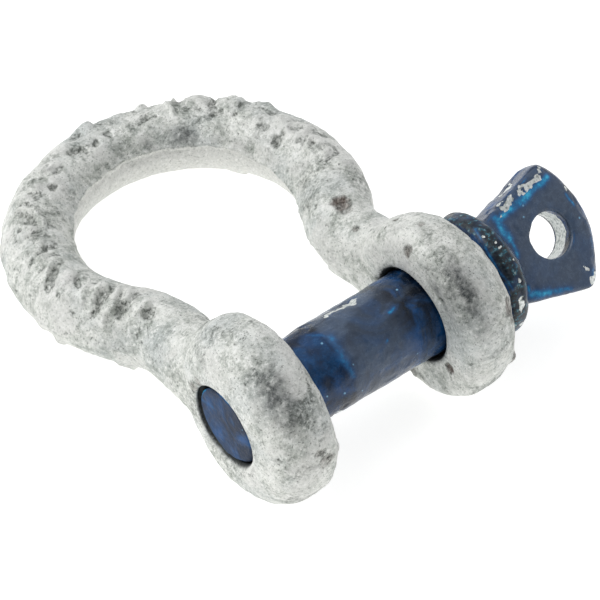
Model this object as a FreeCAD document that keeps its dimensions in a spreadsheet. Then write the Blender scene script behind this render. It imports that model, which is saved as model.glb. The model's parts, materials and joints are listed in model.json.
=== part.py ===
import FreeCAD, Part
import math
import os
import Sketcher
from FreeCAD import Placement, Rotation, Vector

# Bow shackle with a screw pin, in millimetres.
# X runs along the pin, from its threaded end to its head. The origin is on the pin's axis,
# halfway between the ears. Both pieces are drawn with the bow lying in the XY plane and its
# crown towards +Y, and are then turned about the pin's axis until the shackle rests on its two
# ears and its crown, with +Z up.

SIZES = {
    # bow: a round bar bent into a crown, with a neck on each side that leads to an ear
    "bar_dia": 19.0,
    "crown_radius": 38.6,  # of the bar's centre line
    "crown_centre": 64.7,  # from the pin's axis to the centre of the crown's arc
    "neck_radius": 21.8,  # of the bar's centre line, where it bends back to run along Y
    "leg_offset": 27.9,  # from the middle of the bow to the centre line of a leg
    "jaw_gap": 40.0,
    "ear_thick": 16.8,
    "ear_radius": 23.6,
    "ear_drop": 1.0,  # the ear's centre lies this far beyond the pin's axis
    "ear_inner_round": 5.0,
    "ear_outer_round": 9.4,
    "root_width": 15.4,  # the neck's size along X and Z where it has run into the ear
    "root_height": 38.0,
    "root_place": 10.13,  # from the pin's axis, along Y
    "shoulder_width": 17.48,  # the same, further up the neck
    "shoulder_height": 24.0,
    "shoulder_place": 20.25,
    "clear_hole_dia": 25.0,
    "tapped_hole_dia": 20.8,
    "hole_chamfer": 0.8,
    # pin: thread, plain shank, collar and flat eye tab, forged in one piece
    "shank_dia": 22.6,
    "head_shank_dia": 23.0,
    "thread_dia": 20.2,
    "thread_pitch": 2.8,
    "thread_depth": 1.1,
    "groove_width": 2.464,  # of the thread's groove, a little less than its pitch
    "groove_start": 0.2,  # the groove's section starts this far outside the metal
    "end_recess": 0.8,  # from the ear's outer face to the pin's end
    "end_chamfer": 0.8,
    "runout_length": 12.0,  # the taper between the thread and the shank
    "head_step": 0.4,  # the short taper up to the shank's thicker part beside the head
    "seat_gap": 0.2,
    "seat_dia": 28.0,
    "collar_dia": 33.4,
    "collar_flare": 2.8,  # along X, from the seat to the rim
    "rim_width": 3.4,
    "rim_round": 1.0,
    "dome_height": 4.2,
    "dome_round": 14.0,
    "dome_dia": 21.0,
    "tab_root_width": 23.0,
    "tab_width": 35.6,
    "tab_thick": 9.0,
    "tab_corner": 69.8,  # along X, from the middle of the bow to the tab's widest place
    "tab_corner_round": 3.6,
    "tab_end_radius": 27.0,
    "eye_place": 63.4,
    "eye_dia": 12.0,
    "eye_chamfer": 0.4,
    "tab_turn": 51.0,  # degrees that the tab stands turned from the plane of the bow
}

TOLERANCE = 1e-3  # for finding edges by their place

HALF_GAP = "Sizes.jaw_gap / 2"
OUTER_FACE = "Sizes.jaw_gap / 2 + Sizes.ear_thick"
NECK_SINE = "(Sizes.leg_offset + Sizes.neck_radius) / (Sizes.crown_radius + Sizes.neck_radius)"
NECK_COSINE = f"sqrt(1 - ({NECK_SINE}) * ({NECK_SINE}))"
LEG_TOP = f"Sizes.crown_centre - (Sizes.crown_radius + Sizes.neck_radius) * {NECK_COSINE}"
SEAT = f"{OUTER_FACE} + Sizes.seat_gap"
PIN_END = f"-({OUTER_FACE} - Sizes.end_recess)"
RIM = f"{SEAT} + Sizes.collar_flare"
DOME = f"{RIM} + Sizes.rim_width"
DOME_TOP = f"{DOME} + Sizes.dome_height"

doc = FreeCAD.newDocument("bow_shackle")
sheet = doc.addObject("Spreadsheet::Sheet", "Sizes")
for row, (alias, value) in enumerate(SIZES.items(), start=1):
    sheet.set(f"A{row}", alias)
    sheet.set(f"B{row}", str(value))
    sheet.setAlias(f"B{row}", alias)
doc.recompute()


def value_of(expression):
    """The number that an expression of the sheet's cells comes to."""
    return float(sheet.evalExpression(expression.replace("Sizes.", "")))


def new_body(name):
    body = doc.addObject("PartDesign::Body", name)
    body.Label = name
    return body


def origin_feature(body, role):
    return next(feature for feature in body.Origin.OriginFeatures if feature.Role == role)


def sketch_on(body, name, role, offsets=None):
    """A sketch on one of the body's origin planes, moved by the expressions in offsets."""
    sketch = body.newObject("Sketcher::SketchObject", name)
    sketch.AttachmentSupport = [(origin_feature(body, role), "")]
    sketch.MapMode = "FlatFace"
    for axis, expression in (offsets or {}).items():
        sketch.setExpression(f"AttachmentOffset.Base.{axis}", expression)
    return sketch


def bind(sketch, kind, *where, expression):
    """Add a dimension to the sketch and bind it to an expression."""
    index = sketch.addConstraint(Sketcher.Constraint(kind, *where, value_of(expression)))
    sketch.setExpression(f"Constraints[{index}]", expression)


def bind_point(sketch, geometry, end, x, y):
    bind(sketch, "DistanceX", -1, 1, geometry, end, expression=x)
    bind(sketch, "DistanceY", -1, 1, geometry, end, expression=y)


def arc_between(start, stop, radius):
    """The shorter arc from start to stop. A positive radius bulges to the right of the way."""
    way = stop - start
    right = Vector(way.y, -way.x, 0).normalize()
    rise = abs(radius) - math.sqrt(radius**2 - way.Length**2 / 4)
    middle = (start + stop) / 2 + right * math.copysign(rise, radius)
    return Part.Arc(start, middle, stop)


def draw(sketch, corners, closed=True):
    """Draw edges through the corners (x, y, radius), all expressions.

    The edge that leaves a corner is straight if its radius is None, and otherwise an arc."""
    points = [Vector(value_of(x), value_of(y), 0) for x, y, _ in corners]
    count = len(corners) if closed else len(corners) - 1
    ends = []
    for index in range(count):
        start, stop = points[index], points[(index + 1) % len(points)]
        radius = corners[index][2]
        if radius is None:
            sketch.addGeometry(Part.LineSegment(start, stop))
            ends.append((1, 2))
            continue
        curve = arc_between(start, stop, value_of(radius))
        geometry = sketch.addGeometry(curve)
        first = sketch.getPoint(geometry, 1)
        ends.append((1, 2) if first.distanceToPoint(start) < first.distanceToPoint(stop) else (2, 1))
    for index in range(count if closed else count - 1):
        after = (index + 1) % count
        sketch.addConstraint(
            Sketcher.Constraint("Coincident", index, ends[index][1], after, ends[after][0])
        )
    for index in range(count):
        bind_point(sketch, index, ends[index][0], corners[index][0], corners[index][1])
        if corners[index][2] is not None:
            size = corners[index][2].lstrip("-")
            bind(sketch, "Radius", index, expression=size)
    if not closed:
        bind_point(sketch, count - 1, ends[-1][1], corners[-1][0], corners[-1][1])


def draw_circle(sketch, x, y, radius):
    centre = Vector(value_of(x), value_of(y), 0)
    sketch.addGeometry(Part.Circle(centre, Vector(0, 0, 1), value_of(radius)))
    bind_point(sketch, 0, 3, x, y)
    bind(sketch, "Radius", 0, expression=radius)


def draw_ellipse(sketch, x, half_width, half_height):
    """An upright ellipse, taller than it is wide, whose centre is at (x, 0)."""
    centre = Vector(value_of(x), 0, 0)
    top = centre + Vector(0, value_of(half_height), 0)
    side = centre + Vector(value_of(half_width), 0, 0)
    sketch.addGeometry(Part.Ellipse(top, side, centre))
    sketch.exposeInternalGeometry(0)
    bind_point(sketch, 0, 3, x, "0")
    sketch.addConstraint(Sketcher.Constraint("Vertical", 1))
    bind(sketch, "Distance", 1, expression=f"2 * ({half_height})")
    bind(sketch, "Distance", 2, expression=f"2 * ({half_width})")


def revolve(body, name, sketch):
    """Turn the sketch once round its own horizontal axis."""
    feature = body.newObject("PartDesign::Revolution", name)
    feature.Profile = sketch
    feature.ReferenceAxis = (sketch, ["H_Axis"])
    feature.Angle = 360
    doc.recompute()
    return feature


def cut(body, feature, what):
    """Recompute, and make sure that the feature took material away from the body."""
    before = feature.BaseFeature.Shape.Volume
    doc.recompute()
    if feature.Shape.Volume >= before:
        raise RuntimeError(f"{what} cuts nothing")
    body.Tip = feature
    return feature


def drill(body, name, diameter, towards_head):
    """A hole along X, from the middle of the bow right out through one ear."""
    sketch = sketch_on(body, name + "_circle", "YZ_Plane")
    draw_circle(sketch, "0", "0", f"Sizes.{diameter} / 2")
    hole = body.newObject("PartDesign::Pocket", name)
    hole.Profile = sketch
    hole.Type = "ThroughAll"
    hole.Reversed = towards_head
    return cut(body, hole, name)


def edges_where(shape, wanted):
    """The names of the shape's edges for which wanted(edge) holds."""
    return [f"Edge{index}" for index, edge in enumerate(shape.Edges, start=1) if wanted(edge)]


def circle_of(edge):
    """The circle that the edge lies on, or None."""
    if edge.Degenerated:
        return None
    return edge.Curve if isinstance(edge.Curve, Part.Circle) else None


def is_about_axis(edge, radius):
    """Whether the edge is a circle of that radius about the pin's axis."""
    circle = circle_of(edge)
    if circle is None or abs(circle.Radius - radius) > TOLERANCE:
        return False
    return math.hypot(circle.Center.y, circle.Center.z) < TOLERANCE


def dress(body, kind, name, base, edges, size):
    """Round or bevel the named edges of a feature."""
    if not edges:
        raise RuntimeError(f"{name} finds no edge")
    feature = body.newObject(f"PartDesign::{kind}", name)
    feature.Base = (base, edges)
    feature.setExpression("Radius" if kind == "Fillet" else "Size", size)
    return cut(body, feature, name)


def cut_thread(body, name, root, crest, start, length):
    """Cut one helical groove of V section about X, from start towards the head."""
    sketch = sketch_on(body, name + "_section", "XY_Plane")
    half = "Sizes.groove_width / 2"
    draw(
        sketch,
        [
            (f"{start} - {half}", root, None),
            (f"{start} + {half}", root, None),
            (start, crest, None),
        ],
    )
    groove = body.newObject("PartDesign::SubtractiveHelix", name)
    groove.Profile = sketch
    groove.ReferenceAxis = (sketch, ["H_Axis"])
    groove.Mode = 0
    groove.setExpression("Pitch", "Sizes.thread_pitch")
    groove.setExpression("Height", length)
    groove.Angle = 0
    return cut(body, groove, name)


def make_bow():
    """The bent bar with its two ears, one drilled clear and one tapped for the pin's thread."""
    body = new_body("bow")

    path = sketch_on(body, "half_of_the_bend", "XY_Plane")
    draw(
        path,
        [
            ("Sizes.leg_offset", LEG_TOP, "-Sizes.neck_radius"),
            (
                f"Sizes.crown_radius * {NECK_SINE}",
                f"Sizes.crown_centre - Sizes.crown_radius * {NECK_COSINE}",
                "Sizes.crown_radius",
            ),
            ("0", "Sizes.crown_centre + Sizes.crown_radius", None),
        ],
        closed=False,
    )
    section = sketch_on(body, "bar_section", "XZ_Plane", {"z": f"-({LEG_TOP})"})
    draw_circle(section, "Sizes.leg_offset", "0", "Sizes.bar_dia / 2")
    bar = body.newObject("PartDesign::AdditivePipe", "bent_bar")
    bar.Profile = section
    bar.Spine = path
    doc.recompute()

    ear_sketch = sketch_on(body, "ear_section", "XY_Plane", {"y": "-Sizes.ear_drop"})
    draw(
        ear_sketch,
        [
            (HALF_GAP, "0", None),
            (OUTER_FACE, "0", None),
            (OUTER_FACE, "Sizes.ear_radius - Sizes.ear_outer_round", "Sizes.ear_outer_round"),
            (f"{OUTER_FACE} - Sizes.ear_outer_round", "Sizes.ear_radius", None),
            (f"{HALF_GAP} + Sizes.ear_inner_round", "Sizes.ear_radius", "Sizes.ear_inner_round"),
            (HALF_GAP, "Sizes.ear_radius - Sizes.ear_inner_round", None),
        ],
    )
    ear = revolve(body, "ear", ear_sketch)

    middle_of_ear = f"({HALF_GAP} + {OUTER_FACE}) / 2"
    top = sketch_on(body, "neck_top", "XZ_Plane", {"z": f"-({LEG_TOP})"})
    draw_circle(top, "Sizes.leg_offset", "0", "Sizes.bar_dia / 2")
    shoulder = sketch_on(body, "neck_shoulder", "XZ_Plane", {"z": "-Sizes.shoulder_place"})
    draw_ellipse(shoulder, middle_of_ear, "Sizes.shoulder_width / 2", "Sizes.shoulder_height / 2")
    root = sketch_on(body, "neck_root", "XZ_Plane", {"z": "-Sizes.root_place"})
    draw_ellipse(root, middle_of_ear, "Sizes.root_width / 2", "Sizes.root_height / 2")
    neck = body.newObject("PartDesign::AdditiveLoft", "neck")
    neck.Profile = top
    neck.Sections = [shoulder, root]
    doc.recompute()

    other_side = body.newObject("PartDesign::Mirrored", "other_side")
    other_side.Originals = [bar, ear, neck]
    other_side.MirrorPlane = (origin_feature(body, "YZ_Plane"), [""])
    body.Tip = other_side
    doc.recompute()

    drill(body, "clear_hole", "clear_hole_dia", True)
    tapped = drill(body, "tapped_hole", "tapped_hole_dia", False)
    radii = [value_of("clear_hole_dia / 2"), value_of("tapped_hole_dia / 2")]
    mouths = edges_where(tapped.Shape, lambda edge: any(is_about_axis(edge, r) for r in radii))
    dress(body, "Chamfer", "hole_chamfers", tapped, mouths, "Sizes.hole_chamfer")
    cut_thread(
        body,
        "tapped_thread",
        "Sizes.tapped_hole_dia / 2 - Sizes.groove_start",
        "Sizes.tapped_hole_dia / 2 + Sizes.thread_depth",
        f"-({OUTER_FACE}) - Sizes.thread_pitch / 2",
        "Sizes.ear_thick + Sizes.thread_pitch",
    )
    return body


def make_screw_pin():
    """Thread, shank and collar turned in one outline, with the flat eye tab grown out of the head."""
    body = new_body("screw_pin")

    thread_radius = "Sizes.thread_dia / 2"
    shank_radius = "Sizes.shank_dia / 2"
    head_radius = "Sizes.head_shank_dia / 2"
    rim_radius = "Sizes.collar_dia / 2"
    profile = sketch_on(body, "turned_outline", "XY_Plane")
    draw(
        profile,
        [
            (PIN_END, "0", None),
            (PIN_END, f"{thread_radius} - Sizes.end_chamfer", None),
            (f"{PIN_END} + Sizes.end_chamfer", thread_radius, None),
            (f"-({HALF_GAP})", thread_radius, None),
            (f"-({HALF_GAP}) + Sizes.runout_length", shank_radius, None),
            (HALF_GAP, shank_radius, None),
            (f"{HALF_GAP} + Sizes.head_step", head_radius, None),
            (SEAT, head_radius, None),
            (SEAT, "Sizes.seat_dia / 2", None),
            (RIM, rim_radius, None),
            (DOME, rim_radius, "-Sizes.dome_round"),
            (DOME_TOP, "Sizes.dome_dia / 2", None),
            (DOME_TOP, "0", None),
        ],
    )
    turned = revolve(body, "shank_and_collar", profile)

    outline = sketch_on(body, "tab_outline", "XY_Plane")
    half_root = "Sizes.tab_root_width / 2"
    half_width = "Sizes.tab_width / 2"
    draw(
        outline,
        [
            (RIM, f"-({half_root})", None),
            (DOME_TOP, f"-({half_root})", None),
            ("Sizes.tab_corner", f"-({half_width})", "Sizes.tab_end_radius"),
            ("Sizes.tab_corner", half_width, None),
            (DOME_TOP, half_root, None),
            (RIM, half_root, None),
        ],
    )
    tab = body.newObject("PartDesign::Pad", "eye_tab")
    tab.Profile = outline
    tab.Midplane = True
    tab.setExpression("Length", "Sizes.tab_thick")
    doc.recompute()

    corner = value_of("tab_corner")
    corners = edges_where(
        tab.Shape, lambda edge: all(abs(vertex.X - corner) < TOLERANCE for vertex in edge.Vertexes)
    )
    rounded = dress(body, "Fillet", "tab_corners", tab, corners, "Sizes.tab_corner_round")
    rim = edges_where(
        rounded.Shape, lambda edge: is_about_axis(edge, value_of("collar_dia / 2"))
    )
    dress(body, "Fillet", "collar_rim", rounded, rim, "Sizes.rim_round")

    eye_sketch = sketch_on(body, "eye_circle", "XY_Plane")
    draw_circle(eye_sketch, "Sizes.eye_place", "0", "Sizes.eye_dia / 2")
    eye = body.newObject("PartDesign::Pocket", "eye")
    eye.Profile = eye_sketch
    eye.Type = "ThroughAll"
    eye.Midplane = True
    cut(body, eye, "eye")
    eye_radius = value_of("eye_dia / 2")
    mouths = edges_where(
        eye.Shape,
        lambda edge: circle_of(edge) is not None
        and abs(circle_of(edge).Radius - eye_radius) < TOLERANCE
        and abs(circle_of(edge).Center.x - value_of("eye_place")) < TOLERANCE,
    )
    dress(body, "Chamfer", "eye_chamfers", eye, mouths, "Sizes.eye_chamfer")
    cut_thread(
        body,
        "pin_thread",
        "Sizes.thread_dia / 2 + Sizes.groove_start",
        "Sizes.thread_dia / 2 - Sizes.thread_depth",
        f"{PIN_END} - Sizes.thread_pitch / 2",
        "Sizes.ear_thick",
    )
    return body


def check(obj):
    if "Invalid" in obj.State or "Error" in obj.State:
        raise RuntimeError(f"{obj.Name} failed: {obj.State}")


bow = make_bow()
screw_pin = make_screw_pin()

reach = value_of("crown_centre + crown_radius + ear_drop")
rest_tilt = math.degrees(math.asin(value_of("ear_radius - bar_dia / 2") / reach))
bow.Placement = Placement(Vector(), Rotation(Vector(1, 0, 0), -rest_tilt))
screw_pin.Placement = Placement(Vector(), Rotation(Vector(1, 0, 0), value_of("tab_turn") - rest_tilt))
doc.recompute()

for obj in doc.Objects:
    check(obj)
os.makedirs("parts", exist_ok=True)
for body in (bow, screw_pin):
    shape = body.Shape
    if shape.isNull() or not shape.isValid():
        raise RuntimeError(f"{body.Label} has no valid shape")
    shape.exportStep(f"parts/{body.Label}.step")
    print(body.Label, len(shape.Solids), "solid", round(shape.Volume / 1000, 2), "cm3", shape.BoundBox)
print("rests tilted by", round(rest_tilt, 3), "degrees")
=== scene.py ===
"""A screw pin bow shackle: a forged bow, hot-dip galvanised, and a forged pin under blue enamel."""
import json
import math

import bpy
import numpy as np
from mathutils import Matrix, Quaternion, Vector


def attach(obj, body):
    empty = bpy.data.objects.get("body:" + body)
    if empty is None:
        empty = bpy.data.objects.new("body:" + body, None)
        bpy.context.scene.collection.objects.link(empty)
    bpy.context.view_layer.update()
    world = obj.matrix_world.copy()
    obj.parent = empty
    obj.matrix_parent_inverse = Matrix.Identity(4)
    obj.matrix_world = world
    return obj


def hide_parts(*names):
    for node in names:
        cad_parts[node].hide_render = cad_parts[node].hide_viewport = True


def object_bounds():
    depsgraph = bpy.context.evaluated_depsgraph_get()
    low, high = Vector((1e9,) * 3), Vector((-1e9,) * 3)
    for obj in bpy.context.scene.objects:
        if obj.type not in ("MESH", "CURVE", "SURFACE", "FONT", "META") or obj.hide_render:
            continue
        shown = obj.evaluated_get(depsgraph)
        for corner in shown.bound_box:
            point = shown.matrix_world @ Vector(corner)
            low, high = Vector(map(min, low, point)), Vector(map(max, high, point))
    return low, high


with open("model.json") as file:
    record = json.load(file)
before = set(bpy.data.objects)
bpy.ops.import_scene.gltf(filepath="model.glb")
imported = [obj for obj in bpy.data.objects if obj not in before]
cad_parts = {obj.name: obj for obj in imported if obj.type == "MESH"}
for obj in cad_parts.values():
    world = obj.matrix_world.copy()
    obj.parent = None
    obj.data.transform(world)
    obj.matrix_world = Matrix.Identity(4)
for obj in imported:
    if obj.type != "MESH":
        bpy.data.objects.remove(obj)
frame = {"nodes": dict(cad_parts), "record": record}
CAD_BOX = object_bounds()
MM = 0.001

# The part lies at rest on its two ears and its crown, so the plane of the bow is tilted a little.
# In the bow's own frame, used for the surface detail, the bow lies in XY and the pin along X, in mm.
SADDLE = next(m for m in frame["record"]["mounts"] if m["name"] == "crown_saddle")
TILT = math.asin(SADDLE["axis"][2])
TO_BOW = np.array([
    [1, 0, 0],
    [0, math.cos(TILT), -math.sin(TILT)],
    [0, math.sin(TILT), math.cos(TILT)],
])

# Sizes of the two forgings that the surface detail follows, in mm.
CROWN_CENTRE = 64.7
CROWN_RADIUS = 38.6
BAR_RADIUS = 9.5
JAW_FACE = 20.0
EAR_FACE = 36.8
BORE_RADIUS = 12.5
SEAT_RADIUS = 17.5
PIN_END = -36.0
THREAD_END = -20.0
THREAD_RADIUS = 10.1
COLLAR_START = 37.0
RIM_START = 39.8
RIM_END = 43.2
RIM_RADIUS = 16.7
DOME_END = 47.4
TAB_TURN = math.radians(51)
TAB_HALF = 4.5
EYE_X = 63.4
EYE_RADIUS = 6.0

# Cells of the even mesh over each piece, in mm, fine enough for the marks on it.
BOW_CELL = 0.55
PIN_CELL = 0.4


# ---------------------------------------------------------------- fields over a surface

def ease(low, high, value):
    """0 below low, 1 above high, and a smooth rise between them."""
    t = np.clip((value - low) / (high - low), 0, 1)
    return t * t * (3 - 2 * t)


def random_corner(x, y, z, seed):
    """A repeatable number from -1 to 1 for each corner of a grid."""
    h = (x * 374761393 + y * 668265263 + z * 1442695041 + seed * 974634777) & 0xFFFFFFFF
    h = ((h ^ (h >> 13)) * 1274126177) & 0xFFFFFFFF
    h = ((h ^ (h >> 16)) * 2246822519) & 0xFFFFFFFF
    return ((h ^ (h >> 15)) & 0xFFFF) / 32767.5 - 1


def lumps(points, size, seed, layers=1):
    """Smooth random lumps about size mm across, from -1 to 1. Each layer is half as large and as high."""
    total = np.zeros(len(points))
    height = 1.0
    turned = points @ np.array([[0.8, -0.36, 0.48], [0.6, 0.48, -0.64], [0, 0.8, 0.6]])
    for layer in range(layers):
        place = turned / size + 100
        cell = np.floor(place).astype(np.int64)
        t = place - cell
        t = t * t * t * (t * (t * 6 - 15) + 10)
        for corner in range(8):
            step = np.array([corner & 1, corner >> 1 & 1, corner >> 2 & 1])
            share = np.prod(np.where(step, t, 1 - t), axis=1)
            total += height * share * random_corner(*(cell + step).T, seed + layer)
        size /= 2
        height /= 2
    return total


def ragged(points, size, reach, seed):
    """The points shifted by up to about reach mm, so that round shapes drawn over them get torn edges."""
    return points + reach * np.stack([lumps(points, size, seed + k, 2) for k in range(3)], axis=1)


def film(points, rows):
    """The height in mm of a coat made of lumps. Each row has its height, size, seed and layers."""
    return sum(height * lumps(points, *row) for height, *row in rows)


def spot(points, centre, radius):
    """1 at the centre of a round spot, falling to 0 beyond about its radius."""
    gap = np.linalg.norm(points - np.array(centre), axis=1) / radius
    return np.exp(-(gap ** 3))


def relax(values, edges, rounds, share=0.5):
    """Moves each value towards the mean of its neighbours'. share is how far, for all or for each point."""
    count = np.maximum(np.bincount(edges.ravel(), minlength=len(values)), 1)
    flat = values.reshape(len(values), -1).copy()
    share = np.broadcast_to(share, len(values))
    for _ in range(rounds):
        for column in flat.T:
            total = np.bincount(edges[:, 0], column[edges[:, 1]], len(column))
            total += np.bincount(edges[:, 1], column[edges[:, 0]], len(column))
            column += share * (total / count - column)
    return flat.reshape(values.shape)


# ---------------------------------------------------------------- meshes

def skin(node, name, voxel):
    """An even mesh over a CAD node, in a new piece: cells of voxel mm that can carry forged detail."""
    piece = bpy.data.objects.new(name, frame["nodes"][node].data.copy())
    piece.data.materials.clear()
    bpy.context.scene.collection.objects.link(piece)
    even = piece.modifiers.new("even_mesh", "REMESH")
    even.mode = "VOXEL"
    even.voxel_size = voxel * MM
    ready = piece.evaluated_get(bpy.context.evaluated_depsgraph_get())
    mesh = bpy.data.meshes.new_from_object(ready)
    piece.modifiers.clear()
    piece.data = mesh
    mesh.name = name
    return piece


def points_of(mesh):
    """The mesh's points in the bow's frame, in mm."""
    flat = np.empty(len(mesh.vertices) * 3, np.float32)
    mesh.vertices.foreach_get("co", flat)
    return flat.reshape(-1, 3).astype(float) / MM @ TO_BOW.T


def normals_of(mesh):
    """The directions that the mesh's points face, in the bow's frame."""
    flat = np.empty(len(mesh.vertices) * 3, np.float32)
    mesh.vertex_normals.foreach_get("vector", flat)
    return flat.reshape(-1, 3).astype(float) @ TO_BOW.T


def edges_of(mesh):
    """The two points that each edge of the mesh joins."""
    flat = np.empty(len(mesh.edges) * 2, np.int32)
    mesh.edges.foreach_get("vertices", flat)
    return flat.reshape(-1, 2)


def move(mesh, points):
    """Puts the mesh's points at these places in the bow's frame."""
    flat = (points @ TO_BOW * MM).astype(np.float32).ravel()
    mesh.vertices.foreach_set("co", flat)
    mesh.update()


def write(mesh, name, values):
    """Keeps a value from 0 to 1 at each point, for the material to read."""
    field = mesh.attributes.new(name, "FLOAT", "POINT")
    field.data.foreach_set("value", np.clip(values, 0, 1).astype(np.float32))


def finish_piece(piece, body, node, material):
    piece.data.shade_smooth()
    piece.data.materials.append(material)
    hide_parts(node)
    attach(piece, body)


# ---------------------------------------------------------------- materials

def colour(hex_code):
    """An sRGB hex colour as Blender's linear one."""
    parts = [int(hex_code[i:i + 2], 16) / 255 for i in (1, 3, 5)]
    return [p / 12.92 if p <= 0.04045 else ((p + 0.055) / 1.055) ** 2.4 for p in parts] + [1]


def per(mm):
    """The texture scale that gives a pattern cells of this many mm."""
    return 1 / (mm * MM)


def add(tree, kind, links=None, stops=None, take=None, **settings):
    """Adds a shader node with its settings, its colour stops, and what feeds or sets each socket.
    Gives back its output called take, or its first one in use."""
    made = tree.nodes.new("ShaderNode" + kind)
    for key, value in settings.items():
        setattr(made, key, value)
    if stops:
        ramp = made.color_ramp
        while len(ramp.elements) < len(stops):
            ramp.elements.new(1)
        for element, (place, shade) in zip(ramp.elements, stops):
            element.position = place
            element.color = colour(shade) if isinstance(shade, str) else [shade] * 3 + [1]
    for socket, source in (links or {}).items():
        if isinstance(source, bpy.types.NodeSocket):
            tree.links.new(source, made.inputs[socket])
        else:
            made.inputs[socket].default_value = source
    if take:
        return made.outputs[take]
    return next((o for o in made.outputs if o.enabled), made)


def new_material(name):
    """An empty material and the tree that its shader nodes go into."""
    material = bpy.data.materials.new(name)
    material.use_nodes = True
    material.node_tree.nodes.clear()
    return material, material.node_tree


# Laying one colour over another: the Mix node's inputs, which share their names with its other kinds, and
# its setting.
SHARE, FROM, TO = 0, 6, 7
COAT = {"data_type": "RGBA"}


def hot_dip_zinc():
    """Hot-dip galvanised steel that has weathered: a dull pale grey zinc skin, grainy and clouded, with
    oxide grime caught in its hollows, a few burnished darker places that are also a painted dark
    reflection, a painted lighter band of bounce light inside the crown, bore walls painted dark as grime
    and painted shade, and points of brown rust."""
    material, tree = new_material("hot_dip_zinc")
    place = add(tree, "TexCoord", take="Object")
    fields = {
        name: add(tree, "Attribute", take="Fac", attribute_name=name)
        for name in ("clean_and_bounce_light", "hollow", "rubbed_and_dark_reflection", "rust", "bore_grime_and_shade")
    }
    # Stains, the runs of the zinc, its frosty grain and specks of dross. The real grain is about 0.2 mm
    # and wouldn't show, so grain and specks are drawn coarser.
    clouds = add(tree, "TexNoise", {"Vector": place, "Scale": per(16), "Detail": 4.0, "Roughness": 0.55})
    blotch = add(tree, "TexNoise", {"Vector": place, "Scale": per(5), "Detail": 7.0, "Roughness": 0.78})
    grain = add(tree, "TexNoise", {"Vector": place, "Scale": per(0.9), "Detail": 4.0, "Roughness": 0.75})
    speck = add(tree, "TexNoise", {"Vector": place, "Scale": per(0.5), "Detail": 2.0, "Roughness": 0.6})

    # The clean skin, from pale to paler, with its grain. It is made lighter where the zinc is cleaner
    # and, under the seam inside the crown, as painted bounce light from the floor.
    skin_tone = add(tree, "ValToRGB", {"Fac": blotch}, stops=[
        (0.34, "#92978f"), (0.43, "#babeb7"), (0.51, "#d8dad4"), (0.62, "#ecede8")])
    cloud_share = add(tree, "ValToRGB", {"Fac": clouds}, stops=[(0.46, 0.0), (0.66, 0.55)])
    tone = add(tree, "Mix", {SHARE: cloud_share, FROM: skin_tone, TO: colour("#b9c0c0")}, **COAT)
    tone = add(tree, "Mix", {SHARE: fields["clean_and_bounce_light"], FROM: tone, TO: colour("#e6e6e2")}, **COAT)
    grain_share = add(tree, "ValToRGB", {"Fac": grain}, stops=[(0.35, 0.7), (0.46, 0.0)])
    coarse = add(tree, "MapRange", {
        "Value": blotch, "From Min": 0.42, "From Max": 0.6, "To Min": 1.0, "To Max": 0.3})
    grain_share = add(tree, "Math", {0: grain_share, 1: coarse}, operation="MULTIPLY")
    tone = add(tree, "Mix", {SHARE: grain_share, FROM: tone, TO: colour("#868a84")}, **COAT)
    speck_share = add(tree, "ValToRGB", {"Fac": speck}, stops=[(0.32, 0.8), (0.40, 0.0)])
    tone = add(tree, "Mix", {SHARE: speck_share, FROM: tone, TO: colour("#696c67")}, **COAT)
    clean_and_bounce_share = add(tree, "Math", {0: fields["clean_and_bounce_light"], 1: 0.55}, operation="MULTIPLY")
    tone = add(tree, "Mix", {SHARE: clean_and_bounce_share, FROM: tone, TO: colour("#d4d5d0")}, **COAT)
    frost_share = add(tree, "ValToRGB", {"Fac": grain}, stops=[(0.54, 0.0), (0.64, 0.65)])
    tone = add(tree, "Mix", {SHARE: frost_share, FROM: tone, TO: colour("#f7f7f4")}, **COAT)

    # Grime in the hollows, patchy and broken up by the grain.
    patchy = add(tree, "Math", {0: blotch, 1: -1.6, 2: 0.8}, operation="MULTIPLY_ADD")
    patchy = add(tree, "Math", {0: fields["hollow"], 1: patchy}, operation="ADD")
    patchy = add(tree, "ValToRGB", {"Fac": patchy}, stops=[(0.26, 0.0), (0.72, 0.9)])
    gate = add(tree, "MapRange", {"Value": fields["hollow"], "From Min": 0.05, "From Max": 0.3})
    broken = add(tree, "MapRange", {
        "Value": grain, "From Min": 0.36, "From Max": 0.6, "To Min": 1.0, "To Max": 0.25})
    gate = add(tree, "Math", {0: gate, 1: broken}, operation="MULTIPLY")
    grime_share = add(tree, "Math", {0: patchy, 1: gate}, operation="MULTIPLY", use_clamp=True)
    grime_tone = add(tree, "ValToRGB", {"Fac": grain}, stops=[(0.35, "#3e423d"), (0.6, "#7b817a")])
    tone = add(tree, "Mix", {SHARE: grime_share, FROM: tone, TO: grime_tone}, **COAT)

    # Burnished places that are also a painted dark reflection, rust, and the bores' bare walls painted
    # dark as grime and painted shade.
    streaky = add(tree, "MapRange", {
        "Value": grain, "From Min": 0.3, "From Max": 0.65, "To Min": 1.0, "To Max": 0.6})
    rub_and_reflection_share = add(tree, "Math", {0: fields["rubbed_and_dark_reflection"], 1: streaky}, operation="MULTIPLY", use_clamp=True)
    tone = add(tree, "Mix", {SHARE: rub_and_reflection_share, FROM: tone, TO: colour("#343a3c")}, **COAT)
    rust_tone = add(tree, "ValToRGB", {"Fac": grain}, stops=[
        (0.38, "#2f2b27"), (0.5, "#5c5049"), (0.62, "#8e867e")])
    tone = add(tree, "Mix", {SHARE: fields["rust"], FROM: tone, TO: rust_tone}, **COAT)
    bore_grime_and_shade_tone = add(tree, "ValToRGB", {"Fac": blotch}, stops=[(0.38, "#1f2222"), (0.62, "#4b4f4c")])
    tone = add(tree, "Mix", {SHARE: fields["bore_grime_and_shade"], FROM: tone, TO: bore_grime_and_shade_tone}, **COAT)

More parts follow.
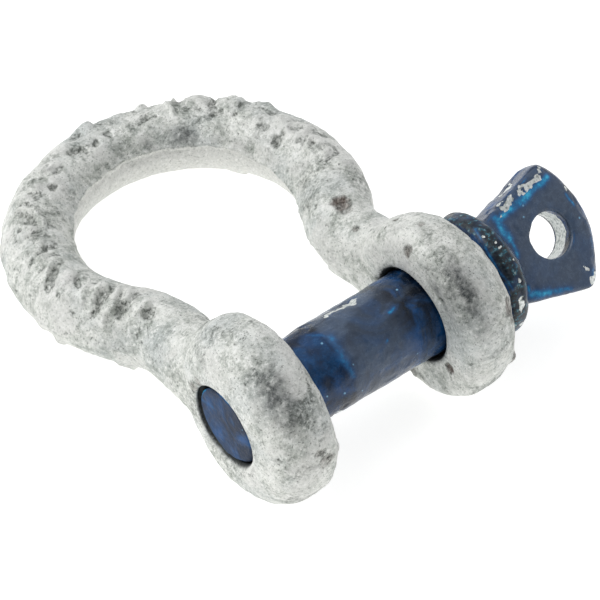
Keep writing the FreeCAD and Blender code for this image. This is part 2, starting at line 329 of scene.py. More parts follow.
    # Weathered zinc is dull and only partly a metal to the eye. Burnishing brings the metal back.
    metal = add(tree, "MapRange", {"Value": fields["rubbed_and_dark_reflection"], "To Min": 0.35, "To Max": 0.7})
    rough = add(tree, "MapRange", {
        "Value": grain, "From Min": 0.3, "From Max": 0.7, "To Min": 0.66, "To Max": 0.5})
    smoother = add(tree, "MapRange", {"Value": rub_and_reflection_share, "To Min": 0.0, "To Max": -0.12})
    rough = add(tree, "Math", {0: rough, 1: smoother}, operation="ADD")
    relief = add(tree, "Math", {0: grain, 1: 0.55}, operation="MULTIPLY")
    relief = add(tree, "Math", {0: speck, 1: 0.28, 2: relief}, operation="MULTIPLY_ADD")
    relief = add(tree, "Math", {0: blotch, 1: 0.6, 2: relief}, operation="MULTIPLY_ADD")
    bump = add(tree, "Bump", {"Height": relief, "Distance": 0.4 * MM, "Strength": 0.9})
    surface = add(tree, "BsdfPrincipled", {
        "Base Color": tone, "Metallic": metal, "Roughness": rough, "Normal": bump})
    add(tree, "OutputMaterial", {"Surface": surface})
    return material


def blue_enamel():
    """Thick stoved enamel dipped over forged steel: near-navy where it lies thick, a clear bright blue
    where it has run thin on edges and as painted highlights along edges, with a soft gloss, and chips
    through to pale zinc and dark steel."""
    material, tree = new_material("blue_enamel")
    place = add(tree, "TexCoord", take="Object")
    fields = {
        name: add(tree, "Attribute", take="Fac", attribute_name=name)
        for name in ("thin_and_highlight", "bare", "scuffed", "slate", "dull")
    }
    # Runs of the film, its fine mottle, the grit of bare zinc, and pinholes. The real grit is about
    # 0.2 mm and wouldn't show, so it is drawn coarser.
    runs = add(tree, "TexNoise", {
        "Vector": place, "Scale": per(9), "Detail": 4.0, "Roughness": 0.55, "Distortion": 1.2})
    fleck = add(tree, "TexNoise", {"Vector": place, "Scale": per(1.5), "Detail": 4.0, "Roughness": 0.65})
    grit = add(tree, "TexNoise", {"Vector": place, "Scale": per(0.7), "Detail": 2.0, "Roughness": 0.5})
    dots = add(tree, "TexVoronoi", {"Vector": place, "Scale": per(4.6), "Randomness": 1.0})

    # The film, from thick to thin, where the bright blue also stands for painted highlights, with its
    # chalky places, the scuffed rim and pale pinholes.
    deep = add(tree, "ValToRGB", {"Fac": runs}, stops=[
        (0.36, "#040f1e"), (0.46, "#0b1f36"), (0.54, "#133457"), (0.66, "#11477c")])
    slate = add(tree, "ValToRGB", {"Fac": fleck}, stops=[(0.3, "#455367"), (0.7, "#57677c")])
    tone = add(tree, "Mix", {SHARE: fields["slate"], FROM: deep, TO: slate}, **COAT)
    scuff_tone = add(tree, "ValToRGB", {"Fac": fleck}, stops=[
        (0.36, "#0a131c"), (0.46, "#14242f"), (0.53, "#34342f"), (0.59, "#1b6277"), (0.70, "#9fb0ac")])
    tone = add(tree, "Mix", {SHARE: fields["scuffed"], FROM: tone, TO: scuff_tone}, **COAT)
    torn = add(tree, "MapRange", {
        "Value": fleck, "From Min": 0.35, "From Max": 0.6, "To Min": 0.7, "To Max": 1.0})
    # The bright blue is thin enamel and also painted highlights along edges.
    thin_and_highlight_share = add(tree, "Math", {0: fields["thin_and_highlight"], 1: torn}, operation="MULTIPLY", use_clamp=True)
    bright = add(tree, "ValToRGB", {"Fac": thin_and_highlight_share}, stops=[
        (0.25, "#0e4478"), (0.5, "#12639f"), (0.75, "#0b8ac6"), (1.0, "#45c3ea")])
    tone = add(tree, "Mix", {SHARE: thin_and_highlight_share, FROM: tone, TO: bright}, **COAT)
    dot_share = add(tree, "ValToRGB", {"Fac": dots}, stops=[(0.05, 0.9), (0.075, 0.0)])
    tone = add(tree, "Mix", {SHARE: dot_share, FROM: tone, TO: colour("#7fb2d2")}, **COAT)

    # Chips with torn edges, through to zinc.
    edge = add(tree, "Math", {0: fleck, 1: 0.9, 2: -0.45}, operation="MULTIPLY_ADD")
    edge = add(tree, "Math", {0: fields["bare"], 1: edge}, operation="ADD")
    chip = add(tree, "ValToRGB", {"Fac": edge}, stops=[(0.46, 0.0), (0.54, 1.0)])
    zinc = add(tree, "ValToRGB", {"Fac": grit}, stops=[
        (0.30, "#8f9694"), (0.42, "#ccd2cf"), (0.6, "#eef1ee")])
    tone = add(tree, "Mix", {SHARE: chip, FROM: tone, TO: zinc}, **COAT)

    # Glossy film, duller where it is scuffed, chipped or chalky.
    rough = add(tree, "MapRange", {
        "Value": fleck, "From Min": 0.3, "From Max": 0.7, "To Min": 0.14, "To Max": 0.34})
    worn = add(tree, "Math", {0: fields["scuffed"], 1: chip}, operation="MAXIMUM")
    worn = add(tree, "Math", {0: worn, 1: 0.2}, operation="MULTIPLY")
    rough = add(tree, "Math", {0: rough, 1: worn}, operation="ADD")
    rough = add(tree, "Math", {0: fields["dull"], 1: 0.4, 2: rough}, operation="MULTIPLY_ADD")
    metal = add(tree, "Math", {0: chip, 1: 0.45}, operation="MULTIPLY")
    relief = add(tree, "Math", {0: fleck, 1: 0.3}, operation="MULTIPLY")
    relief = add(tree, "Math", {0: runs, 1: 0.5, 2: relief}, operation="MULTIPLY_ADD")
    relief = add(tree, "Math", {0: chip, 1: -0.25, 2: relief}, operation="MULTIPLY_ADD")
    bump = add(tree, "Bump", {"Height": relief, "Distance": 0.6 * MM, "Strength": 0.9})
    surface = add(tree, "BsdfPrincipled", {
        "Base Color": tone, "Metallic": metal, "Roughness": rough, "Specular IOR Level": 0.4,
        "Normal": bump})
    add(tree, "OutputMaterial", {"Surface": surface})
    return material


# ---------------------------------------------------------------- the bow

# Raised forge marks and hollows round the crown. Each is the angle round the crown from its top, the
# angle round the bar from its outer side, the size along and across the bar in mm, the height in mm
# and the skew in degrees.
FORGED_MARKS = [
    (-3, 64, 3.4, 1.9, 1.0, -12), (-8, 72, 1.5, 1.5, -0.8, 0), (9, 74, 3.0, 0.7, 0.5, 4),
    (10, 64, 2.6, 0.7, 0.5, 4), (19, 54, 1.3, 1.8, 1.1, 10), (31, 74, 1.0, 4.8, 1.0, 4),
    (34, 82, 0.8, 3.0, -0.5, 4), (40.5, 66, 3.9, 4.6, 1.15, 0), (47.3, 76, 0.7, 3.6, -0.6, -6),
    (53.5, 68, 3.3, 4.4, 1.15, -6), (59, 84, 0.8, 2.6, -0.5, 0), (66.5, 62, 3.8, 2.4, 0.8, 6),
    (-15, 80, 3.2, 1.1, 0.6, 14), (-20, 70, 1.6, 2.6, 0.6, -25), (-29, 86, 2.6, 1.0, 0.6, 26),
    (-33, 66, 2.0, 3.0, 0.7, -20), (-41, 84, 2.2, 1.6, 0.7, 34), (-47, 68, 1.2, 3.0, 0.7, -14),
    (-54, 82, 1.4, 4.2, 0.9, 16), (-57, 76, 0.8, 2.2, -0.7, 40), (-60, 96, 3.4, 1.1, 0.9, -10),
    (-61, 72, 2.8, 1.0, 0.8, 24), (-65, 86, 1.2, 2.2, 0.9, 50), (-68, 70, 1.2, 3.4, 0.7, -30),
    (-76, 88, 1.3, 4.8, 0.9, -28), (-79.5, 84, 0.9, 5.0, -1.0, -26), (-83, 78, 2.4, 2.2, 0.9, 20),
    (-88, 84, 1.1, 4.0, 0.8, -34), (-92, 70, 1.2, 3.8, -1.0, -36), (-97, 80, 3.0, 2.8, 0.9, 12),
    (-103, 58, 2.2, 2.0, 0.7, 40), (-103, 82, 0.9, 3.0, -0.8, -24), (-108, 72, 1.8, 3.4, 0.8, 30),
    (-113, 88, 1.0, 3.2, 0.9, 8), (-115.5, 74, 0.9, 4.8, -1.0, 8), (-119, 76, 1.2, 5.4, 1.2, 6),
    (-122, 58, 1.2, 1.5, -0.9, 0), (-123.5, 84, 1.0, 3.6, 0.8, -8), (-124, 68, 1.3, 1.4, -0.8, 20),
    (-130, 76, 2.6, 2.4, 0.7, 12), (-133, 66, 1.4, 1.8, -0.9, 0),
    (87, 92, 3.2, 3.8, 1.0, 0), (87, 92, 1.5, 2.2, -1.1, 0), (83.5, 120, 1.1, 2.4, -1.0, 18),
    (98, 96, 3.0, 3.4, 1.1, -20), (98, 97, 1.3, 1.5, -1.2, 0), (104, 86, 2.0, 2.2, 1.0, 30),
    (104, 86, 0.8, 0.9, -0.9, 0), (77, 84, 2.4, 3.0, 0.7, 20), (110, 64, 1.8, 2.8, 0.5, 0),
    (-15, 104, 2.0, 1.5, -0.9, 30), (1, 107, 1.2, 1.2, -0.8, 0), (-6, 110, 1.2, 1.0, -0.8, 0),
    (-28, 107, 1.3, 1.3, -0.9, 0), (-39, 110, 1.6, 1.0, -0.9, 30), (21, 102, 3.0, 1.1, -0.7, 5),
    (57, 103, 1.0, 1.0, -0.7, 0), (50, 106, 1.6, 0.8, -0.7, 12), (72, 110, 1.8, 0.9, -0.6, -8),
]
MARK_LIFT = 1.2
UNDERSIDE_MARKS = 26

# The zinc's broad waves, drips and small lumps: height, size in mm, seed and layers.
ZINC_SKIN = [(0.30, 17, 3), (0.24, 7, 11, 2), (0.12, 2.4, 17, 2), (0.055, 1.15, 23)]

# Trimming the forging leaves a ragged seam round the bow, in mm. Inside the crown it sits above the
# middle, and the metal under it is a little lower and smoother. The bar begins where the ears end.
SEAM_HALF_WIDTH = 0.6
SEAM_RISE = 3.5
SEAM_STEP = 0.45
BAR_START = 22

# Between these two y, in mm, the grime changes from the legs' broad smudges to the crown's small ones.
CROWN_SIDE = (36, 60)

# Pits and stuck lumps of zinc: place in mm, radius, height in mm, and how rusty it is.
PITS = [
    ((28.3, 36.1, 9.5), 2.4, -0.9, 1.0), ((27.3, 33.9, 9.5), 2.3, -0.8, 0.3),
    ((20.3, 0.0, 20.1), 1.3, -0.6, 0.75), ((25.5, 11.0, 20.3), 1.1, -0.5, 0.6),
    ((33.4, -20.8, 8.4), 2.2, -0.4, 0.85),
    ((33.9, -21.6, 6.0), 1.8, -0.3, 0.7), ((20.0, -13.9, -8.1), 1.5, -0.7, 0.95),
    ((-25.5, -24.6, 0.4), 1.8, -0.5, 0.5), ((-27.0, -24.2, 3.2), 1.2, -0.3, 0.4),
    ((24.7, 25.4, 9.5), 0.8, -0.5, 0.6), ((20.0, 0.1, -18.7), 1.5, 0.7, 0.5),
    ((33.5, -21.0, -7.5), 1.4, 1.0, 0.7), ((-37.0, 10.8, 5.4), 1.6, -0.1, 0.55),
    ((-36.9, 8.2, 8.6), 1.4, -0.1, 0.5), ((27.4, 22.0, 13.0), 0.9, -0.4, 0.4),
    ((30.5, 27.0, 9.0), 0.7, -0.4, 0.4), ((24.5, -18.8, 13.0), 0.8, -0.4, 0.6),
    ((-23.5, -17.0, 16.5), 0.8, -0.3, 0.3), ((26.5, 2.5, 23.2), 0.8, -0.3, 0.5),
]
RANDOM_PITS = 150

# Places on the fronts of the ears painted darker, where other gear has burnished them and as a painted
# dark reflection of the tent's opening: x in mm, the angle round the pin, and half the patch's width in
# mm and half its angle.
BURNISHED_AND_REFLECTED = [(-30.8, 131, 3.2, 23), (23.2, 135, 3.7, 27)]


def unrolled(points):
    """Angles round the crown and round the bar, and how far out from the bar's middle line, in mm."""
    across = points[:, 1] - CROWN_CENTRE
    round_crown = np.arctan2(points[:, 0], across)
    outward = np.hypot(points[:, 0], across) - CROWN_RADIUS
    return round_crown, np.arctan2(points[:, 2], outward), outward


def forge_marks(points, rows):
    """The height that the marks give at each point."""
    crown, bar, outward = unrolled(points)
    along_scale = CROWN_RADIUS + outward
    wander = [lumps(points, 4.0, 41 + k, 3) for k in (0, 1)]
    uneven = 1 + 0.45 * lumps(points, 2.4, 47, 2)
    height = np.zeros(len(points))
    on_bar = ease(BAR_START + 6, BAR_START + 12, points[:, 1])
    for angle, turn, length, width, lift, skew in rows:
        u = (crown - math.radians(angle)) * along_scale + wander[0]
        gap = (bar - math.radians(turn) + math.pi) % (2 * math.pi) - math.pi
        v = gap * BAR_RADIUS + 1.2 * wander[1]
        c, s = math.cos(math.radians(skew)), math.sin(math.radians(skew))
        reach = np.hypot((u * c + v * s) / length, (v * c - u * s) / width)
        height += MARK_LIFT * lift * np.exp(-(reach ** 4)) * uneven
    return height * on_bar


def underside_marks(rng):
    """Random forge marks for the side that the bow rests on, in rows like those above."""
    return [
        (rng.uniform(-125, 105), rng.uniform(-105, -50), rng.uniform(1.2, 2.6), rng.uniform(2.4, 5.6),
         rng.choice([0.9, 0.7, -0.6]), rng.uniform(-30, 30))
        for _ in range(UNDERSIDE_MARKS)
    ]


def pits_and_lumps(points, rng):
    """The height of the pits and lumps at each point, how rusty it is, and their dark edges."""
    height, rust, edge = np.zeros((3, len(points)))
    torn = ragged(points, size=1.4, reach=0.45, seed=83)
    for centre, radius, lift, rusty in PITS:
        shape = spot(torn, centre, radius)
        rim = spot(torn, centre, radius * 1.45) - shape
        height += lift * shape + 0.25 * abs(lift) * rim
        rust = np.maximum(rust, rusty * ease(0.15, 0.5, shape))
        edge = np.maximum(edge, rusty * np.exp(-((shape - 0.3) / 0.2) ** 2))
    for index in rng.choice(len(points), RANDOM_PITS, replace=False):
        radius = rng.uniform(0.5, 1.1)
        near = np.flatnonzero(np.abs(points[:, 0] - points[index, 0]) < 3 * radius)
        height[near] += rng.uniform(-0.55, 0.2) * spot(points[near], points[index], radius)
    return height, rust, edge


def grime(points, settled, lines, under_seam, facing_up):
    """How much grime each point holds: what has settled, with smudges over it and thin crooked lines."""
    crown_side = ease(*CROWN_SIDE, points[:, 1])
    smudge = ease(0.15, 0.75, lumps(points, 11, 61, 3)) * (0.5 - 0.2 * crown_side)
    crown_smudge = crown_side * ease(0.05, 0.75, lumps(points, 6, 67, 3)) * 0.4
    crown_smudge *= ease(0.2, 0.5, facing_up + 0.3)
    crooked = np.exp(-((lumps(points, 2.6, 89, 2) / 0.055) ** 2)) * ease(0.05, 0.5, lumps(points, 8, 91, 2))
    held = np.maximum(np.maximum(settled, 0.9 * lines), 0.75 * crooked)
    return np.maximum(held, np.maximum(smudge, crown_smudge)) * (1 - 0.75 * under_seam)


def burnished_and_dark_reflection(points, from_pin, crown, bar, under_seam):
    """How much each point is painted darker, on the fronts of both ears and inside the crown: burnishing
    by other gear, and a painted dark reflection of the tent's opening.
    """
    rim_angle = np.degrees(np.arctan2(points[:, 2], points[:, 1]))
    drift = lumps(points, 5, 71, 2)
    on_rim = from_pin > SEAT_RADIUS - 0.5
    rubbed_and_dark_reflection = np.zeros(len(points))
    for x, angle, half_width, half_angle in BURNISHED_AND_REFLECTED:
        across = (points[:, 0] - x + 0.9 * drift) / half_width
        along = (rim_angle - angle + 5 * drift) / half_angle
        rubbed_and_dark_reflection = np.maximum(rubbed_and_dark_reflection, np.exp(-(across ** 2 + along ** 2) ** 1.4) * on_rim)
    # Inside the crown, where the tube faces the tent's opening, a dark band is painted: a painted dark
    # reflection that also stands for burnishing.
    inside = np.exp(-((np.degrees(bar) - 143) / 17) ** 2) * np.exp(-((np.degrees(crown) - 36) / 30) ** 2)
    rubbed_and_dark_reflection = np.maximum(rubbed_and_dark_reflection, 0.85 * inside * ease(-0.8, 0.3, drift) * (1 - under_seam))
    return rubbed_and_dark_reflection * (0.85 + 0.5 * lumps(points, 1.6, 73, 2))


def make_bow():
    """The forged bow under its zinc, with its grime, rust and burnished places, its painted dark
    reflections, painted bounce light and painted shade in the bores.
    """
    piece = skin("bow", "bow_forging", BOW_CELL)
    mesh = piece.data
    points, edges = points_of(mesh), edges_of(mesh)
    from_pin = np.hypot(points[:, 1], points[:, 2])
    in_bore = 1 - ease(BORE_RADIUS + 0.6, BORE_RADIUS + 2.0, from_pin)
    in_bore *= np.abs(points[:, 0]) < EAR_FACE + 2
    in_thread = in_bore * (points[:, 0] < 0)
    points = relax(points, edges, rounds=4, share=0.5 * (1 - 0.75 * in_thread))
    move(mesh, points)
    normals = normals_of(mesh)

    crown, bar, _ = unrolled(points)
    rng = np.random.default_rng(7)
    marks = forge_marks(points, FORGED_MARKS + underside_marks(rng))
    inner = (np.cos(bar) < 0) * (points[:, 1] > BAR_START)
    seam_at = np.where(inner, SEAM_RISE * np.exp(-(np.degrees(crown) / 88) ** 4), 0)
    above = points[:, 2] - seam_at + 0.35 * lumps(points, 3, 29, 2)
    on_side = 1 - ease(0.75, 0.95, np.abs(normals[:, 2]))
    seam = np.exp(-(above / SEAM_HALF_WIDTH) ** 2) * (0.4 + 0.2 * lumps(points, 5, 31)) * on_side
    under_seam = inner * ease(0.1, 0.5, -above)
    seam -= SEAM_STEP * under_seam
    pits, rust, pit_edge = pits_and_lumps(points, rng)

    # All of it is smooth in the bores and on the collar's seat.
    on_seat = 1 - ease(SEAT_RADIUS - 3, SEAT_RADIUS, from_pin)
    on_seat *= ease(EAR_FACE - 2, EAR_FACE - 0.8, points[:, 0])
    calm = 1 - np.clip(0.93 * in_bore + 0.95 * on_seat, 0, 1)
    height = (film(points, ZINC_SKIN) * (1 - 0.5 * under_seam) + seam + pits + marks) * calm
    points = points + normals * height[:, None]
    # The marks are worn flat where the shackle rests, so that none of them goes through the floor.
    at_rest = points @ TO_BOW
    at_rest[:, 2] = np.maximum(at_rest[:, 2], CAD_BOX[0].z / MM)
    points = at_rest @ TO_BOW.T
    move(mesh, points)

    # Grime settles where the surface lies lower than its surroundings, at the bores' mouths, under the
    # seam and round the pits.
    out = np.abs(points[:, 0])
    broad = relax(height, edges, rounds=60)
    settled = ease(0.04, 0.34, broad - height)
    mouth = 0.45 * np.exp(-((from_pin - BORE_RADIUS) / 1.4) ** 2)
    settled = np.maximum(settled, mouth * (out > JAW_FACE - 1) * (out < EAR_FACE + 1))
    seam_line = np.exp(-((above + 0.55) / 0.4) ** 2) * inner * on_side
    seam_line *= ease(-0.5, 0.2, lumps(points, 6, 59))
    lines = np.maximum(seam_line, pit_edge)
    # Under the seam inside the crown the zinc is painted lighter, as painted bounce light from the floor;
    # elsewhere there are random patches of cleaner zinc.
    clean_and_bounce_light = 0.9 * under_seam * (points[:, 1] > BAR_START + 4)
    clean_and_bounce_light = np.maximum(clean_and_bounce_light, 0.6 * ease(0.1, 0.8, lumps(points, 9, 77, 3)))
    # The bores' walls are painted dark: grime and grease, and painted shade deep in the bores and in the gap
    # round the pin.
    wall = in_bore * (from_pin < BORE_RADIUS + 0.4)
    write(mesh, "bore_grime_and_shade", wall * (1 - ease(EAR_FACE - 1.1, EAR_FACE - 0.5, out)))
    write(mesh, "hollow", grime(points, settled, lines, under_seam, normals[:, 2]))
    write(mesh, "rubbed_and_dark_reflection", burnished_and_dark_reflection(points, from_pin, crown, bar, under_seam))
    write(mesh, "clean_and_bounce_light", clean_and_bounce_light)
    write(mesh, "rust", rust * (0.8 + 0.4 * lumps(points, 1.0, 79)))
    finish_piece(piece, "bow", "bow", hot_dip_zinc())


# ---------------------------------------------------------------- the pin

# Places where the enamel has chipped off: place in mm and radius.
CHIPS = [
    ((-2.2, 3.6, 10.7), 1.0), ((-0.6, 4.2, 10.5), 1.1), ((1.0, 4.2, 10.5), 1.0), ((2.4, 3.8, 10.6), 1.2),
    ((4.0, 4.2, 10.5), 1.3), ((5.4, 3.6, 10.7), 1.6), ((6.6, 4.4, 10.4), 1.1),
    ((53.4, 4.3, 12.1), 1.0), ((54.8, 4.4, 12.1), 1.25), ((56.2, 4.4, 12.2), 1.2), ((57.6, 4.9, 12.7), 0.8),
    ((54.2, 5.2, 12.4), 0.9), ((60.0, 4.7, 12.7), 0.9), ((61.6, 4.8, 12.9), 1.15), ((63.2, 5.0, 13.1), 1.3),
    ((64.8, 5.4, 13.4), 1.35), ((66.4, 5.6, 13.6), 1.3), ((68.0, 6.4, 14.0), 1.2), ((69.4, 6.8, 13.6), 1.0),
    ((55.8, 9.8, 10.3), 0.7), ((57.7, 9.9, 10.8), 1.0), ((59.3, 9.4, 11.7), 1.0), ((60.6, 9.9, 11.7), 0.9),
    ((62.2, 10.4, 11.9), 0.8), ((52.6, 2.9, 10.7), 0.6),
    ((70.6, -12.3, -9.4), 1.5), ((69.2, -13.4, -9.9), 1.7), ((67.2, -14.6, -9.6), 1.0),
    ((64.6, -14.2, -9.4), 0.8), ((68.5, -10.8, -6.1), 0.8),
    ((41.7, -16.6, 2.1), 1.5), ((41.4, -16.6, 0.7), 1.4), ((42.7, -14.7, 7.9), 0.8),
    ((42.3, -15.3, -6.6), 1.2), ((40.4, -4.0, 16.2), 0.6), ((41.6, -7.0, 15.1), 0.6),
    ((42.2, -8.5, 14.4), 0.7), ((43.0, -12.0, 11.6), 0.7), ((42.6, 12.8, 10.6), 1.2),
    ((41.5, 15.6, -5.5), 1.5), ((41.5, 3.0, -16.4), 1.4), ((60.0, -9.5, -13.6), 1.8),
    ((73.5, 3.0, 8.0), 1.0), ((58.5, 14.0, 7.5), 1.4), ((-10.0, -9.0, -6.5), 1.2), ((8.0, 3.0, -10.8), 1.4),
]

# The enamel's uneven film: height, size in mm, seed and layers.
ENAMEL_FILM = [(0.16, 9, 101), (0.09, 3.6, 103, 2), (0.035, 1.3, 107)]

# The enamel's second dip ends in a ragged lap round the shank, at this x in mm.
LAP_X = -6.4

# Lines painted bright blue, where the enamel has drained thin and as painted highlights along edges:
# two ends in mm, the half-width, and how bright. The first ones run along the tab's edges and the corner
# where it meets the collar.
THIN_AND_HIGHLIGHT_LINES = [
    ((51.4, 2.8, 10.7), (61.0, 3.7, 11.8), 1.5, 1.0), ((61.0, 3.7, 11.8), (69.4, 4.8, 13.0), 1.3, 1.0),
    ((50.6, 3.3, 11.2), (52.0, -0.6, 6.4), 1.7, 0.95), ((52.0, -0.6, 6.4), (51.6, -3.4, 2.6), 1.0, 0.9),
    ((50.3, -10.0, -5.1), (55.5, -11.3, -6.8), 1.5, 1.0),
    ((55.5, -11.3, -6.8), (61.5, -12.6, -8.3), 1.2, 0.8),
    ((50.4, -8.4, -3.2), (50.3, -10.0, -5.1), 0.8, 0.9), ((72.1, 1.1, 8.5), (74.6, -6.4, -1.8), 0.4, 0.9),
    ((74.6, -6.4, -1.8), (72.4, -9.8, -5.3), 0.35, 0.7), ((39.9, -1.0, 16.6), (38.9, -6.1, 14.9), 0.5, 0.8),
    ((38.9, -6.1, 14.9), (38.9, -12.1, 10.3), 0.45, 0.8), ((38.9, -12.1, 10.3), (39.6, -15.6, 5.8), 0.4, 0.7),
    ((43.2, -0.3, 16.6), (43.4, -8.6, 14.0), 0.4, 0.5), ((43.4, -12.0, 11.2), (43.4, -16.0, 3.0), 0.35, 0.5),
    ((12.0, -10.2, -4.4), (17.0, -8.8, -6.8), 1.2, 0.6), ((-6.2, -3.0, 10.9), (-6.8, -8.4, 7.6), 1.8, 0.68),
    ((-6.8, -8.4, 7.6), (-6.2, -10.6, 3.8), 1.6, 0.65), ((-9.6, 1.5, 11.2), (-6.2, -3.0, 10.9), 0.8, 0.6),
    ((3.0, -9.8, 5.6), (5.4, -9.2, 6.6), 0.5, 0.9), ((10.0, -4.8, 10.2), (11.6, -4.2, 10.5), 0.5, 0.9),
]


def near_line(points, start, end, radius):
    """1 on the line from start to end, falling to 0 beyond about radius mm from it."""
    start, span = np.array(start), np.array(end) - np.array(start)
    share = np.clip((points - start) @ span / (span @ span), 0, 1)
    gap = np.linalg.norm(points - start - share[:, None] * span, axis=1) / radius
    return np.exp(-(gap ** 1.8))


def thin_enamel_and_highlights(points, normals, from_axis, from_eye, depth, lap, on_tab, on_shank, on_end):
    """How bright blue the enamel is painted at each point: where it lies thin over rounded edges, beside
    laps and on the pin's end, and where highlights along edges are painted on.
    """
    # Where the tab's faces begin to turn into its rounded edges, a bright band is painted: dipped enamel
    # runs thin there, and the band is also a painted highlight.
    wide = lumps(points, 8, 127, 3)
    flatness = np.abs(normals[:, 2] * math.cos(TAB_TURN) - normals[:, 1] * math.sin(TAB_TURN))
    turning = np.exp(-((flatness - 0.9) / 0.09) ** 2)
    thin_and_highlight = 0.75 * turning * ease(-0.35, 0.45, wide) * on_tab
    thin_and_highlight = np.maximum(thin_and_highlight, 0.4 * (1 - ease(-1.6, 0.2, lap)) * on_shank * ease(-0.2, 0.6, wide))
    thin_and_highlight = np.maximum(thin_and_highlight, 0.3 * ease(0.35, 0.75, lumps(points, 5.5, 137, 3)) * on_shank)

    end_rim = ease(THREAD_RADIUS - 1.2, THREAD_RADIUS - 0.4, from_axis)
    end_rim *= ease(-0.6, 0.4, lumps(points, 5, 141))
    end_cloud = ease(-0.2, 0.7, lumps(points, 6, 139))
    thin_and_highlight = np.maximum(thin_and_highlight, on_end * (0.15 + 0.17 * end_cloud + 0.85 * end_rim))
    swayed = ragged(points, size=5, reach=1.2, seed=143)
    end_streak = near_line(swayed, (PIN_END, 7.6, 2.6), (PIN_END, -3.0, 4.0), 1.3)
    thin_and_highlight = np.maximum(thin_and_highlight, on_end * 0.55 * end_streak)

    tab_side = on_tab * (1 - ease(TAB_HALF - 1.2, TAB_HALF - 0.4, np.abs(depth)))
    tab_side *= from_eye > EYE_RADIUS + 1.5
    thin_and_highlight = np.maximum(thin_and_highlight, 0.32 * tab_side * ease(-0.6, 0.4, wide))
    soft = ragged(points, size=4.0, reach=0.5, seed=157)
    for start, end, radius, share in THIN_AND_HIGHLIGHT_LINES:
        thin_and_highlight = np.maximum(thin_and_highlight, share * near_line(soft, start, end, radius))
    return thin_and_highlight


def slate_enamel(points, depth, lap, on_tab):
    """How greyed the enamel is at each point: on the tab's faces, past the lap and on the dome."""
    streaks = lumps(points * [0.35, 1, 1], 3.0, 147, 3)
    past_lap = ease(-0.6, 1.0, lap) * (points[:, 0] < COLLAR_START)
    beside_lap = past_lap * (0.45 + 0.45 * ease(-0.5, 0.5, streaks)) * (1 - ease(8, 15, points[:, 0]))
    slate = on_tab * ease(TAB_HALF - 1.0, TAB_HALF - 0.4, np.abs(depth)) * 0.85
    slate = np.maximum(slate, beside_lap)
    slate = np.maximum(slate, 0.35 * past_lap * ease(0.0, 0.6, streaks))
    return np.maximum(slate, ease(RIM_END, RIM_END + 1.0, points[:, 0]) * (1 - on_tab))


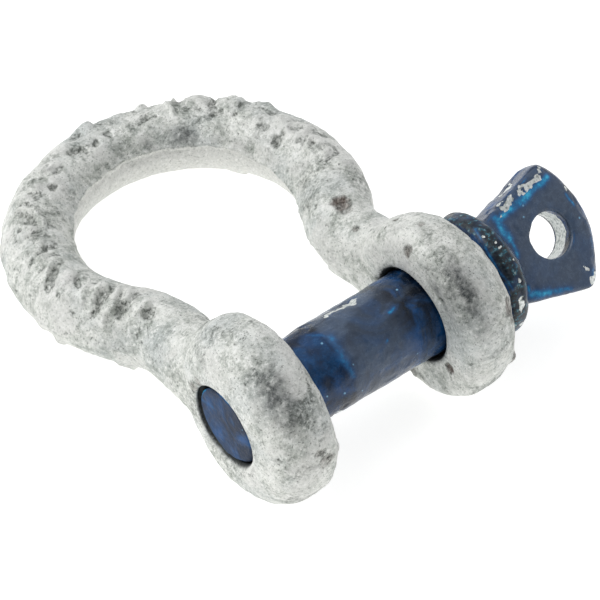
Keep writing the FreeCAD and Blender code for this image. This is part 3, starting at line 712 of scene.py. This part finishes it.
def make_pin():
    """The forged screw pin with its collar and eye tab, under chipped enamel."""
    piece = skin("screw_pin", "screw_pin_forging", PIN_CELL)
    mesh = piece.data
    points, edges = points_of(mesh), edges_of(mesh)

    # Forging rounds the head's edges, and the tab's the most. The eye's own rim stays sharper.
    on_head = ease(RIM_END - 1.0, RIM_END + 1.5, points[:, 0])
    on_thread = 1 - ease(THREAD_END - 1, THREAD_END + 1, points[:, 0])
    points = relax(points, edges, rounds=3, share=0.5 * (1 - 0.6 * on_thread))
    width = points[:, 1] * math.cos(TAB_TURN) + points[:, 2] * math.sin(TAB_TURN)
    on_eye_rim = 1 - ease(EYE_RADIUS + 2, EYE_RADIUS + 4, np.hypot(points[:, 0] - EYE_X, width))
    points = relax(points, edges, rounds=10, share=0.5 * on_head * (1 - 0.8 * on_eye_rim))
    on_blade = ease(RIM_END + 1.0, DOME_END + 2.0, points[:, 0])
    points = relax(points, edges, rounds=34, share=0.5 * on_blade * (1 - on_eye_rim))
    move(mesh, points)
    normals = normals_of(mesh)

    # The tab's own directions, as it stands turned about the pin.
    from_axis = np.hypot(points[:, 1], points[:, 2])
    width = points[:, 1] * math.cos(TAB_TURN) + points[:, 2] * math.sin(TAB_TURN)
    depth = points[:, 2] * math.cos(TAB_TURN) - points[:, 1] * math.sin(TAB_TURN)
    from_eye = np.hypot(points[:, 0] - EYE_X, width)
    on_tab = ease(DOME_END - 4, DOME_END, points[:, 0])
    in_eye = (from_eye < EYE_RADIUS + 0.3) * on_tab * (np.abs(depth) < TAB_HALF + 0.5)

    dents = -0.22 * ease(0.45, 0.85, lumps(points, 4.5, 109, 2))
    torn = ragged(points, size=1.8, reach=0.85, seed=113)
    bare = np.zeros(len(points))
    for centre, radius in CHIPS:
        bare = np.maximum(bare, spot(torn, centre, radius))
    chipped = ease(0.4, 0.6, bare)
    on_seat = np.abs(points[:, 0] - COLLAR_START) < 1.2
    quiet = 1 - np.clip(0.85 * on_thread + 0.9 * on_seat, 0, 1)
    height = (film(points, ENAMEL_FILM) + dents - 0.1 * chipped) * quiet
    points = points + normals * height[:, None]
    move(mesh, points)

    lap = points[:, 0] - LAP_X + 1.2 * lumps(points, 7, 131)
    on_shank = (from_axis < BORE_RADIUS) * (np.abs(points[:, 0]) < JAW_FACE + 1)
    on_end = points[:, 0] < PIN_END + 1.5
    rim = ease(RIM_RADIUS - 1.6, RIM_RADIUS - 0.6, from_axis)
    rim *= (points[:, 0] > RIM_START - 0.8) * (points[:, 0] < RIM_END + 1)

    # Bare metal also shows on the thread's crests and in the eye, all but the strips of enamel that wrap
    # round the edges of its wall.
    wide = lumps(points, 8, 127, 3)
    crest = on_thread * (points[:, 0] < THREAD_END) * ease(-0.3, 0.4, wide) * 0.6
    crest *= ease(THREAD_RADIUS - 0.6, THREAD_RADIUS - 0.1, from_axis)
    wrap = 2.0 + 0.8 * lumps(points, 3, 149, 2)
    in_strip = (1 - ease(wrap - 0.3, wrap + 0.3, depth)) * (1 - ease(2.9, 3.4, -depth))
    bare = np.maximum(np.maximum(bare, 0.9 * in_eye * in_strip), crest)
    thin_and_highlight = thin_enamel_and_highlights(points, normals, from_axis, from_eye, depth, lap, on_tab, on_shank, on_end)
    write(mesh, "thin_and_highlight", thin_and_highlight)
    write(mesh, "bare", bare)
    write(mesh, "scuffed", rim * (0.75 + 0.3 * lumps(points, 2.2, 151)))
    write(mesh, "slate", slate_enamel(points, depth, lap, on_tab))
    write(mesh, "dull", on_end)
    finish_piece(piece, "pin", "screw_pin", blue_enamel())


make_bow()
make_pin()


# ---------------------------------------------------------------- floor, light and camera

FLOOR_HALF = 3.0  # m

# The tent's opening: the way it faces, and the angles from there where its dark begins and is full.
OPENING = Vector((-0.33, -0.74, 0.58)).normalized()
OPENING_EDGE = math.radians(52)
OPENING_DARK = math.radians(18)


def make_floor():
    """A plain pale light table under the lowest point, far wider than the view."""
    z = CAD_BOX[0].z
    mesh = bpy.data.meshes.new("floor")
    corners = [(x * FLOOR_HALF, y * FLOOR_HALF, z) for x, y in ((-1, -1), (1, -1), (1, 1), (-1, 1))]
    mesh.from_pydata(corners, [], [(0, 1, 2, 3)])
    floor = bpy.data.objects.new("floor", mesh)
    bpy.context.scene.collection.objects.link(floor)
    material, tree = new_material("lit_white_acrylic")
    surface = add(tree, "BsdfPrincipled", {
        "Base Color": colour("#c8c8c7"), "Roughness": 0.9, "Specular IOR Level": 0.1,
        "Emission Color": colour("#fdfdfc"), "Emission Strength": 0.8})
    add(tree, "OutputMaterial", {"Surface": surface})
    mesh.materials.append(material)


def make_light():
    """A white light tent, darker round the opening that the object is seen through, and a soft box."""
    world = bpy.data.worlds.new("light_tent")
    bpy.context.scene.world = world
    world.use_nodes = True
    tree = world.node_tree
    tree.nodes.clear()
    towards = add(tree, "TexCoord", take="Generated")
    near = add(tree, "VectorMath", {0: towards, 1: OPENING}, take="Value", operation="DOT_PRODUCT")
    shade = add(tree, "MapRange", {
        "Value": near, "From Min": math.cos(OPENING_EDGE), "From Max": math.cos(OPENING_DARK),
        "To Min": 0.66, "To Max": 0.12}, interpolation_type="SMOOTHSTEP")
    glow = add(tree, "Background", {"Color": colour("#fbfcff"), "Strength": shade})
    add(tree, "OutputWorld", {"Surface": glow})
    lamp = bpy.data.lights.new("soft_box", "AREA")
    lamp.size = 0.7
    lamp.energy = 5.2
    box = bpy.data.objects.new("soft_box", lamp)
    bpy.context.scene.collection.objects.link(box)
    box.location = (-0.40, 0.40, 0.80)
    box.rotation_euler = (-Vector(box.location)).to_track_quat("-Z", "Y").to_euler()


def make_camera():
    """Looks down on the shackle from its threaded side, with the pin's head away to the right."""
    azimuth, elevation, roll = math.radians(-38.9), math.radians(47.8), math.radians(0.9)
    target = Vector((7.0, 26.5, -8.8)) * MM
    distance = 529 * MM
    back = Vector((
        math.sin(azimuth) * math.cos(elevation),
        -math.cos(azimuth) * math.cos(elevation),
        math.sin(elevation),
    ))
    lens = bpy.data.cameras.new("camera")
    lens.sensor_width = 36
    lens.lens = 127.4
    lens.clip_start, lens.clip_end = 0.01, 20
    camera = bpy.data.objects.new("camera", lens)
    bpy.context.scene.collection.objects.link(camera)
    camera.location = target + back * distance
    camera.rotation_mode = "QUATERNION"
    camera.rotation_quaternion = (-back).to_track_quat("-Z", "Y") @ Quaternion((0, 0, 1), roll)
    bpy.context.scene.camera = camera


make_floor()
make_light()
make_camera()
bpy.context.scene.view_settings.view_transform = "Standard"
